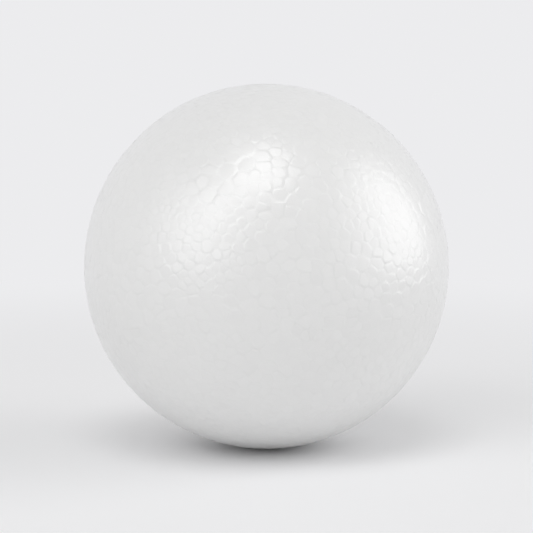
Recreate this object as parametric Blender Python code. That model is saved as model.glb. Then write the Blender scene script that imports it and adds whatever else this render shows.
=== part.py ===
"""A polystyrene craft ball, 33 mm across.

The ball is moulded in one piece from small foam beads, and it is solid foam right through. Its
mould is two half cavities. Where they meet, they leave the only mark of its making: the parting
line, a faint low ridge right round the ball.

The origin is the ball's centre, with +Z up, and lengths are in metres. The mould opens along Y,
so the parting line runs round the ball in the XZ plane.
"""

import math

import bmesh
import bpy

BALL_DIAMETER = 0.033
PARTING_LINE_WIDTH = 0.0003
PARTING_LINE_HEIGHT = 0.00005

SPHERE_SUBDIVISIONS = 5  # an icosphere of 5120 triangles, all within 0.02 mm of the round ball
RIDGE_STRIPS = 4  # flat strips that make up the ridge's arched top

FOAM_COLOUR = (0.86, 0.86, 0.855, 1.0)
FOAM_ROUGHNESS = 0.45


def clear_scene():
    for found in list(bpy.data.objects):
        bpy.data.objects.remove(found)


def foam_material():
    """White foam whose beads have fused into a smooth, satin skin."""
    material = bpy.data.materials.new("white_polystyrene_foam")
    material.use_nodes = True
    shader = material.node_tree.nodes["Principled BSDF"]
    shader.inputs["Base Color"].default_value = FOAM_COLOUR
    shader.inputs["Roughness"].default_value = FOAM_ROUGHNESS
    shader.inputs["Metallic"].default_value = 0.0
    return material


def ridge_height(from_parting_plane):
    """How far the surface stands above the round ball: a low arch across the parting line."""
    share = from_parting_plane / (PARTING_LINE_WIDTH / 2)
    return PARTING_LINE_HEIGHT * max(0.0, 1.0 - share * share)


def add_parting_loops(shape):
    """Cuts edge loops along the ridge's two feet and across its top. The mould opens along Z."""
    for strip in range(RIDGE_STRIPS + 1):
        height = PARTING_LINE_WIDTH * (strip / RIDGE_STRIPS - 0.5)
        bmesh.ops.bisect_plane(
            shape,
            geom=shape.verts[:] + shape.edges[:] + shape.faces[:],
            dist=PARTING_LINE_WIDTH / 1000,
            plane_co=(0.0, 0.0, height),
            plane_no=(0.0, 0.0, 1.0),
        )


def ball_mesh():
    """The ball with its parting line, in the mould's own axes, where the mould opens along Z."""
    shape = bmesh.new()
    radius = BALL_DIAMETER / 2
    bmesh.ops.create_icosphere(shape, subdivisions=SPHERE_SUBDIVISIONS, radius=radius)
    add_parting_loops(shape)
    for vert in shape.verts:
        stands_at = radius + ridge_height(vert.co.z)
        vert.co = vert.co.normalized() * stands_at
    mesh = bpy.data.meshes.new("ball")
    shape.to_mesh(mesh)
    shape.free()
    mesh.shade_smooth()
    return mesh


def make_ball():
    ball = bpy.data.objects.new("ball", ball_mesh())
    ball.data.materials.append(foam_material())
    ball.rotation_euler.x = math.radians(90)  # the mould's opening way, Z, turns to Y
    bpy.context.scene.collection.objects.link(ball)
    return ball


clear_scene()
make_ball()
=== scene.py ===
"""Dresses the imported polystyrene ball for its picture.

A skin of fused foam beads takes the plain solid's place, on a pale studio floor under soft
lamps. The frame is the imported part's own: the ball's centre is the origin, its parting line runs
round it in the XZ plane, +Z is up, and lengths are in metres.
"""

import math

import bmesh
import bpy
import numpy as np
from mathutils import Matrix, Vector


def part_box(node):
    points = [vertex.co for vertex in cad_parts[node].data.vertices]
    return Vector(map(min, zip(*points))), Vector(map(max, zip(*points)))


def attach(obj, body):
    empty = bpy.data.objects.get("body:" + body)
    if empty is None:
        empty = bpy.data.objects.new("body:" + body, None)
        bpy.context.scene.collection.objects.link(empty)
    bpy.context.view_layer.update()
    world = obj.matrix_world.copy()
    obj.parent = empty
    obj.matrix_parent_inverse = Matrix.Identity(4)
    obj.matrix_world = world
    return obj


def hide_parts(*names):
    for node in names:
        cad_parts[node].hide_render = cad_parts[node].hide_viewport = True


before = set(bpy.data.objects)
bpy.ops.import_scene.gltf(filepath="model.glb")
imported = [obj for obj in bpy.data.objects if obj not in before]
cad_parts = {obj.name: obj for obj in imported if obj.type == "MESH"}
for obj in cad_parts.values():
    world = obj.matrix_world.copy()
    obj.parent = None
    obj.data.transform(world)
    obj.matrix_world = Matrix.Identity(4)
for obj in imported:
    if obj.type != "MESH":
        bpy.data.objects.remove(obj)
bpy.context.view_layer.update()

ball_low, ball_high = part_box("ball")
BALL_RADIUS = ball_high.y
PARTING_LINE_HEIGHT = ball_high.z - ball_high.y
PARTING_LINE_WIDTH = 0.0003
PARTING_LINE_STRIPS = 4
PARTING_LINE_UNEVEN = 0.15  # the share that its height wavers to either side of its mean
PARTING_LINE_LONG_WAVES = 9
PARTING_LINE_SHORT_WAVES = 23
FLOOR_HEIGHT = ball_low.z

# The skin's beads
BEAD_WIDTH = 0.0010
BEAD_SEED = 33
SETTLING_ROUNDS = 5  # the more rounds, the more alike the beads' sizes
SHORTEST_BORDER = 0.00014  # where a border would be shorter, four beads meet at one corner
BORDER_WANDER = 0.05  # how far a border may bend aside, as a share of its length
GROOVE_DEPTH = 0.000012  # the deepest along the borders between two beads
PIT_DEPTH = 0.000028  # the deepest where three beads meet
WELL_FUSED = 0.3  # the depth of the best fused borders and pits, as a share of the deepest
GROOVE_HALF_WIDTH = 0.00007
PIT_HALF_WIDTH = 0.00012
SHOULDER_DROP = 0.000003  # the rounded edge where a bead's face turns down into a groove
FACE_RING = 0.15  # how far a face's inner ring is drawn in, as a share of the way to its middle
CLOSEST = 0.4  # the most of the way to a bead's middle that its shoulder may take
BEAD_TILT = math.radians(2.4)  # the most that a bead's face leans
BEAD_LIFT = 0.000002  # the spread of how high the beads' faces stand
SNAP_DISTANCE = 0.000003  # a vertex this near the parting line's cuts is taken to lie on them

# Colours, linear
FOAM_WHITE = (0.80, 0.80, 0.792)
# Painted shade: the grooves and pits are coloured this darker white, the more the deeper they go
PAINTED_GROOVE_SHADE = (0.785, 0.785, 0.777)
BACKGROUND = (0.84, 0.84, 0.855)
FLOOR_WHITE = (0.95, 0.95, 0.96)
TONE_CHANGE = 0.005  # the spread of the beads' lightness, as a share

# The foam's gloss: a satin surface under a slightly smoother skin. Head on, the two together reflect
# nearly three times what bare polystyrene does. That is a choice for likeness, and wasn't measured
POLYSTYRENE_INDEX = 1.59
SPECULAR_LEVEL = 1.0  # twice what the index alone gives
COAT_WEIGHT = 1.0
FOAM_ROUGHNESS = 0.38
ROUGHNESS_CHANGE = 0.02  # the spread of the beads' roughness
SKIN_ROUGHNESS = 0.28

# The foam's cells, too fine to be modelled
CELLS_PER_METRE = 7000.0
CELL_DETAIL = 2.0
CELL_DEPTH = 0.000006

# The camera: the photograph's front-on view, raised a little so that the floor shows
CAMERA_ELEVATION = math.radians(5)
CAMERA_DISTANCE = 0.135
CAMERA_LENS = 100  # mm
CAMERA_NEAREST = 0.01  # nothing nearer than this is shown
RIGHT = Vector((1.0, 0.0, 0.0))
UP = Vector((0.0, math.sin(CAMERA_ELEVATION), math.cos(CAMERA_ELEVATION)))
TO_CAMERA = Vector((0.0, -math.cos(CAMERA_ELEVATION), math.sin(CAMERA_ELEVATION)))

FLOOR_SIZE = 3.0

# The floor fades into the background between these distances from the point under the ball
FADE_START = 0.03
FADE_END = 0.16

LAMP_DISTANCE = 0.6
WORLD_STRENGTH = 0.55  # the light from all round, apart from the lamps'


def hull_triangles(points):
    """The triangles of the hull round points on a sphere, as rows of three point numbers."""
    shape = bmesh.new()
    for point in points:
        shape.verts.new(point)
    shape.verts.index_update()
    bmesh.ops.convex_hull(shape, input=shape.verts[:])
    triangles = [[vert.index for vert in face.verts] for face in shape.faces]
    shape.free()
    return np.array(triangles)


def unit(vectors):
    return vectors / np.linalg.norm(vectors, axis=-1, keepdims=True)


def meeting_points(points, triangles):
    """Where each three neighbouring beads meet: the middle of the circle through their middles."""
    first, second, third = (points[triangles[:, corner]] for corner in range(3))
    square = unit(np.cross(second - first, third - first))
    return square * np.sign(np.sum(square * first, axis=1, keepdims=True))


def bead_middles():
    """Bead middles on the unit sphere: drawn at random, then settled until they lie evenly."""
    bead_area = math.sqrt(3) / 2 * BEAD_WIDTH**2
    count = round(4 * math.pi * BALL_RADIUS**2 / bead_area)
    points = unit(np.random.default_rng(BEAD_SEED).normal(size=(count, 3)))
    for _ in range(SETTLING_ROUNDS):
        triangles = hull_triangles(points)
        meetings = meeting_points(points, triangles)
        settled = np.zeros_like(points)
        np.add.at(settled, triangles.ravel(), np.repeat(meetings, 3, axis=0))
        points = unit(settled[np.unique(triangles)])
    return points


def in_order(middle, corner_numbers, meetings):
    """A bead's corners, anticlockwise seen from outside the ball."""
    start = meetings[corner_numbers[0]]
    ahead = unit(start - middle * np.dot(start, middle))
    aside = np.cross(middle, ahead)
    bearings = [
        math.atan2(np.dot(meetings[number], aside), np.dot(meetings[number], ahead))
        for number in corner_numbers
    ]
    return [number for _, number in sorted(zip(bearings, corner_numbers))]


def borders_of(corners):
    """Each corner with the next one, all the way round."""
    return zip(corners, corners[1:] + corners[:1])


def bead_corners(points, triangles, meetings):
    """For each bead, the numbers of the meeting points that are its corners, in order."""
    touching = [[] for _ in points]
    for number, triangle in enumerate(triangles):
        for bead in triangle:
            touching[bead].append(number)
    return [in_order(middle, numbers, meetings) for middle, numbers in zip(points, touching)]


def join_close_corners(beads, meetings):
    """Makes one corner of two that lie closer together than the shortest border."""
    stands_for = np.arange(len(meetings))
    for corners in beads:
        for here, there in borders_of(corners):
            apart = np.linalg.norm(meetings[here] - meetings[there]) * BALL_RADIUS
            if apart < SHORTEST_BORDER:
                stands_for[stands_for == stands_for[there]] = stands_for[here]
    joined = np.zeros_like(meetings)
    np.add.at(joined, stands_for, meetings)
    kept = np.unique(stands_for)
    joined[kept] = unit(joined[kept])
    joined_beads = []
    for corners in beads:
        numbers = [int(stands_for[corner]) for corner in corners]
        joined_beads.append([here for here, there in borders_of(numbers) if here != there])
    return joined_beads, joined


class BeadSkin:
    """The ball's surface as a mosaic of beads, each one a face set round by a fine groove."""

    def __init__(self, meetings):
        self.shape = bmesh.new()
        # each groove or pit vertex's share of its full depth, which also sets how much painted shade it
        # gets
        self.edge = self.shape.verts.layers.float.new("groove_shade_share")
        self.tone = self.shape.faces.layers.float.new("bead_tone")
        self.draws = np.random.default_rng(BEAD_SEED)
        self.meetings = meetings
        self.corner_verts = {}
        self.side_verts = {}

    def vert(self, direction, height):
        """A vertex that stands that high above the round ball."""
        return self.shape.verts.new(Vector(direction).normalized() * (BALL_RADIUS + height))

    def edge_vert(self, direction, deepest):
        """A vertex in a groove or pit, as deep as its beads happen to have fused, and painted that much
        darker as shade.
        """
        share = self.draws.uniform(WELL_FUSED, 1.0)
        made = self.vert(direction, -deepest * share)
        made[self.edge] = share
        return made

    def corner_vert(self, corner):
        if corner not in self.corner_verts:
            self.corner_verts[corner] = self.edge_vert(self.meetings[corner], PIT_DEPTH)
        return self.corner_verts[corner]

    def side_vert(self, here, there):
        """The middle of a border, a little aside of the straight line between its corners."""
        key = (min(here, there), max(here, there))
        if key not in self.side_verts:
            start, end = self.meetings[here], self.meetings[there]
            aside = np.cross(start, end) * self.draws.uniform(-BORDER_WANDER, BORDER_WANDER)
            self.side_verts[key] = self.edge_vert(unit(start + end) + aside, GROOVE_DEPTH)
        return self.side_verts[key]

    def add_bead(self, corners):
        border = []
        for here, there in borders_of(corners):
            border.append(self.corner_vert(here))
            border.append(self.side_vert(here, there))
        middle = Vector(unit(self.meetings[corners].sum(axis=0)))
        tilt = Vector(unit(self.draws.normal(size=3))) * math.tan(BEAD_TILT)
        lift = self.draws.normal() * BEAD_LIFT

        def height(direction):
            return lift + tilt.dot(direction - middle) * BALL_RADIUS

        shoulder = []
        for number, vert in enumerate(border):
            start = vert.co.normalized()
            inset = GROOVE_HALF_WIDTH if number % 2 else PIT_HALF_WIDTH
            share = min(CLOSEST, inset / BALL_RADIUS / (middle - start).length)
            direction = start.lerp(middle, share)
            shoulder.append(self.vert(direction, height(direction) - SHOULDER_DROP))
        face = []
        for number in range(0, len(shoulder), 2):
            near = sum((shoulder[number + step].co for step in (-1, 0, 1)), Vector())
            direction = near.normalized().lerp(middle, FACE_RING)
            face.append(self.vert(direction, height(direction)))
        top = self.vert(middle, height(middle))
        self.add_faces(border, shoulder, face, top)

    def add_faces(self, border, shoulder, face, top):
        tone = self.draws.normal()
        outlines = []
        for here in range(len(border)):
            there = (here + 1) % len(border)
            outlines.append((border[here], border[there], shoulder[there], shoulder[here]))
        for here in range(len(face)):
            there = (here + 1) % len(face)
            between = shoulder[2 * here + 1]
            outlines.append((shoulder[2 * here], between, face[here]))
            outlines.append((between, face[there], face[here]))
            outlines.append((between, shoulder[2 * there], face[there]))
            outlines.append((face[here], face[there], top))
        for outline in outlines:
            self.shape.faces.new(outline)[self.tone] = tone

    def evenness(self, vert):
        """The share of its full height that the parting line has there, as it goes round."""
        bearing = math.atan2(vert.co.z, vert.co.x)
        waver = math.sin(PARTING_LINE_LONG_WAVES * bearing) * math.cos(PARTING_LINE_SHORT_WAVES * bearing)
        return 1.0 - PARTING_LINE_UNEVEN + PARTING_LINE_UNEVEN * waver

    def add_parting_line(self):
        """Raises the thin flash that the mould's two halves leave, in place of grooves there."""
        for strip in range(PARTING_LINE_STRIPS + 1):
            across = PARTING_LINE_WIDTH * (strip / PARTING_LINE_STRIPS - 0.5)
            bmesh.ops.bisect_plane(
                self.shape,
                geom=self.shape.verts[:] + self.shape.edges[:] + self.shape.faces[:],
                dist=SNAP_DISTANCE,
                plane_co=(0.0, across, 0.0),
                plane_no=(0.0, 1.0, 0.0),
            )
        for vert in self.shape.verts:
            share = 1.0 - (2.0 * vert.co.y / PARTING_LINE_WIDTH) ** 2
            if share > 0.0:
                standing = vert.co.length * (1.0 - share) + BALL_RADIUS * share
                standing += PARTING_LINE_HEIGHT * share * self.evenness(vert)
                vert.co = vert.co.normalized() * standing
                # the painted shade of the grooves fades out where the flash stands in their place
                vert[self.edge] *= 1.0 - share

    def finished_mesh(self):
        mesh = bpy.data.meshes.new("bead_skin")
        self.shape.normal_update()
        self.shape.to_mesh(mesh)
        self.shape.free()
        mesh.shade_smooth()
        return mesh


def make_bead_skin():
    points = bead_middles()
    triangles = hull_triangles(points)
    meetings = meeting_points(points, triangles)
    beads, meetings = join_close_corners(bead_corners(points, triangles, meetings), meetings)
    skin = BeadSkin(meetings)
    for corners in beads:
        skin.add_bead(corners)
    skin.add_parting_line()
    bead_skin = bpy.data.objects.new("bead_skin", skin.finished_mesh())
    bead_skin.data.materials.append(fused_bead_material())
    bpy.context.scene.collection.objects.link(bead_skin)
    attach(bead_skin, "root")
    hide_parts("ball")


def node_adder(tree):
    """A function that adds a node of that kind to the tree and sets the values it is given."""

    def add(kind, **values):
        node = tree.nodes.new(kind)
        for key, value in values.items():
            setattr(node, key, value)
        return node

    return add


def new_material(name):
    """A material, its Principled shader, and the functions that add a node and link two sockets."""
    material = bpy.data.materials.new(name)
    material.use_nodes = True
    tree = material.node_tree
    return material, tree.nodes["Principled BSDF"], node_adder(tree), tree.links.new


def fused_bead_material():
    """White foam under the faintly shiny skin that the mould left, with painted shade along the grooves
    and pits.
    """
    material, shader, add, link = new_material("fused_foam_beads")
    tone = add("ShaderNodeAttribute", attribute_name="bead_tone")
    # the groove and pit depth share, by which painted shade darkens the white there
    edge = add("ShaderNodeAttribute", attribute_name="groove_shade_share")

    white = add("ShaderNodeMix", data_type="RGBA")
    white.inputs["A"].default_value = (*FOAM_WHITE, 1.0)
    white.inputs["B"].default_value = (*PAINTED_GROOVE_SHADE, 1.0)
    link(edge.outputs["Fac"], white.inputs["Factor"])
    lightness = add("ShaderNodeMath", operation="MULTIPLY_ADD")
    lightness.inputs[1].default_value = TONE_CHANGE
    lightness.inputs[2].default_value = 1.0
    link(tone.outputs["Fac"], lightness.inputs[0])
    toned = add("ShaderNodeHueSaturation")
    link(lightness.outputs["Value"], toned.inputs["Value"])
    link(white.outputs["Result"], toned.inputs["Color"])
    link(toned.outputs["Color"], shader.inputs["Base Color"])

    roughness = add("ShaderNodeMath", operation="MULTIPLY_ADD")
    roughness.inputs[1].default_value = ROUGHNESS_CHANGE
    roughness.inputs[2].default_value = FOAM_ROUGHNESS
    link(tone.outputs["Fac"], roughness.inputs[0])
    link(roughness.outputs["Value"], shader.inputs["Roughness"])

    place = add("ShaderNodeTexCoord")
    cells = add("ShaderNodeTexNoise")
    cells.inputs["Scale"].default_value = CELLS_PER_METRE
    cells.inputs["Detail"].default_value = CELL_DETAIL
    link(place.outputs["Object"], cells.inputs["Vector"])
    bump = add("ShaderNodeBump")
    bump.inputs["Strength"].default_value = 1.0
    bump.inputs["Distance"].default_value = CELL_DEPTH
    link(cells.outputs["Fac"], bump.inputs["Height"])
    link(bump.outputs["Normal"], shader.inputs["Normal"])

    shader.inputs["IOR"].default_value = POLYSTYRENE_INDEX
    shader.inputs["Specular IOR Level"].default_value = SPECULAR_LEVEL
    shader.inputs["Coat Weight"].default_value = COAT_WEIGHT
    shader.inputs["Coat IOR"].default_value = POLYSTYRENE_INDEX
    shader.inputs["Coat Roughness"].default_value = SKIN_ROUGHNESS
    return material


def background_rays(add, link):
    """A value that is 1 for the rays that show the background: to the camera, off and through."""
    path = add("ShaderNodeLightPath")
    reflected = add("ShaderNodeMath", operation="MAXIMUM")
    link(path.outputs["Is Camera Ray"], reflected.inputs[0])
    link(path.outputs["Is Glossy Ray"], reflected.inputs[1])
    passed = add("ShaderNodeMath", operation="MAXIMUM")
    link(reflected.outputs["Value"], passed.inputs[0])
    link(path.outputs["Is Transmission Ray"], passed.inputs[1])
    return passed.outputs["Value"]


def pale_floor_material():
    """A white floor that keeps the ball's shadow and fades into the background further out."""
    material, shader, add, link = new_material("pale_floor")
    shader.inputs["Base Color"].default_value = (*FLOOR_WHITE, 1.0)
    shader.inputs["Roughness"].default_value = 1.0
    shader.inputs["Specular IOR Level"].default_value = 0.0
    place = add("ShaderNodeTexCoord")
    out = add("ShaderNodeVectorMath", operation="LENGTH")
    link(place.outputs["Object"], out.inputs[0])
    fade = add("ShaderNodeMapRange", interpolation_type="SMOOTHSTEP")
    fade.inputs["From Min"].default_value = FADE_START
    fade.inputs["From Max"].default_value = FADE_END
    link(out.outputs["Value"], fade.inputs["Value"])
    share = add("ShaderNodeMath", operation="MULTIPLY")
    link(fade.outputs["Result"], share.inputs[0])
    link(background_rays(add, link), share.inputs[1])
    glow = add("ShaderNodeEmission")
    glow.inputs["Color"].default_value = (*BACKGROUND, 1.0)
    mixed = add("ShaderNodeMixShader")
    link(share.outputs["Value"], mixed.inputs["Fac"])
    link(shader.outputs["BSDF"], mixed.inputs[1])
    link(glow.outputs["Emission"], mixed.inputs[2])
    link(mixed.outputs["Shader"], material.node_tree.nodes["Material Output"].inputs["Surface"])
    return material


def make_floor():
    bpy.ops.mesh.primitive_plane_add(size=FLOOR_SIZE, location=(0.0, 0.0, FLOOR_HEIGHT))
    floor = bpy.context.object
    floor.name = "floor"
    floor.data.materials.append(pale_floor_material())


def way_to_lamp(across, up):
    """The way to the lamp whose highlight lies there on the ball, in shares of its radius."""
    facing = math.sqrt(1.0 - across**2 - up**2)
    normal = across * RIGHT + up * UP + facing * TO_CAMERA
    return 2.0 * facing * normal - TO_CAMERA


def add_lamp(name, across, up, strength, width, height):
    """A soft oval lamp. Where it fills the view, a white surface under it renders at strength."""
    way = way_to_lamp(across, up)
    light = bpy.data.lights.new(name, "AREA")
    light.shape = "ELLIPSE"
    light.size = width
    light.size_y = height
    light.energy = strength * math.pi * (math.pi / 4 * width * height)
    lamp = bpy.data.objects.new(name, light)
    lamp.location = way.normalized() * LAMP_DISTANCE
    lamp.rotation_mode = "QUATERNION"
    lamp.rotation_quaternion = way.to_track_quat("Z", "Y")
    lamp.visible_camera = False
    bpy.context.scene.collection.objects.link(lamp)


def make_lamps():
    """Three lamps for the long highlight and one for the right one, two with a fainter surround."""
    add_lamp("key_lamp", across=-0.02, up=0.50, strength=2.15, width=0.28, height=0.32)
    add_lamp("middle_lamp", across=-0.18, up=0.36, strength=0.95, width=0.28, height=0.28)
    add_lamp("left_lamp", across=-0.34, up=0.20, strength=0.73, width=0.32, height=0.42)
    add_lamp("left_surround", across=-0.36, up=0.18, strength=0.44, width=0.60, height=0.70)
    add_lamp("right_lamp", across=0.69, up=0.20, strength=0.72, width=0.42, height=0.65)
    add_lamp("right_surround", across=0.66, up=0.15, strength=0.61, width=0.70, height=0.90)


def make_world():
    """Soft light from all round, in front of a pale background."""
    world = bpy.data.worlds.new("studio")
    world.use_nodes = True
    tree = world.node_tree
    add = node_adder(tree)
    link = tree.links.new
    light = tree.nodes["Background"]
    light.inputs["Color"].default_value = (1.0, 1.0, 1.0, 1.0)
    light.inputs["Strength"].default_value = WORLD_STRENGTH
    shown = add("ShaderNodeBackground")
    shown.inputs["Color"].default_value = (*BACKGROUND, 1.0)
    mixed = add("ShaderNodeMixShader")
    link(background_rays(add, link), mixed.inputs["Fac"])
    link(light.outputs["Background"], mixed.inputs[1])
    link(shown.outputs["Background"], mixed.inputs[2])
    link(mixed.outputs["Shader"], tree.nodes["World Output"].inputs["Surface"])
    bpy.context.scene.world = world


def make_camera():
    camera = bpy.data.objects.new("camera", bpy.data.cameras.new("camera"))
    camera.data.lens = CAMERA_LENS
    camera.data.clip_start = CAMERA_NEAREST
    camera.location = TO_CAMERA * CAMERA_DISTANCE
    camera.rotation_mode = "QUATERNION"
    camera.rotation_quaternion = TO_CAMERA.to_track_quat("Z", "Y")
    bpy.context.scene.collection.objects.link(camera)
    bpy.context.scene.camera = camera


make_bead_skin()
make_floor()
make_lamps()
make_world()
make_camera()
bpy.context.scene.view_settings.view_transform = "Standard"
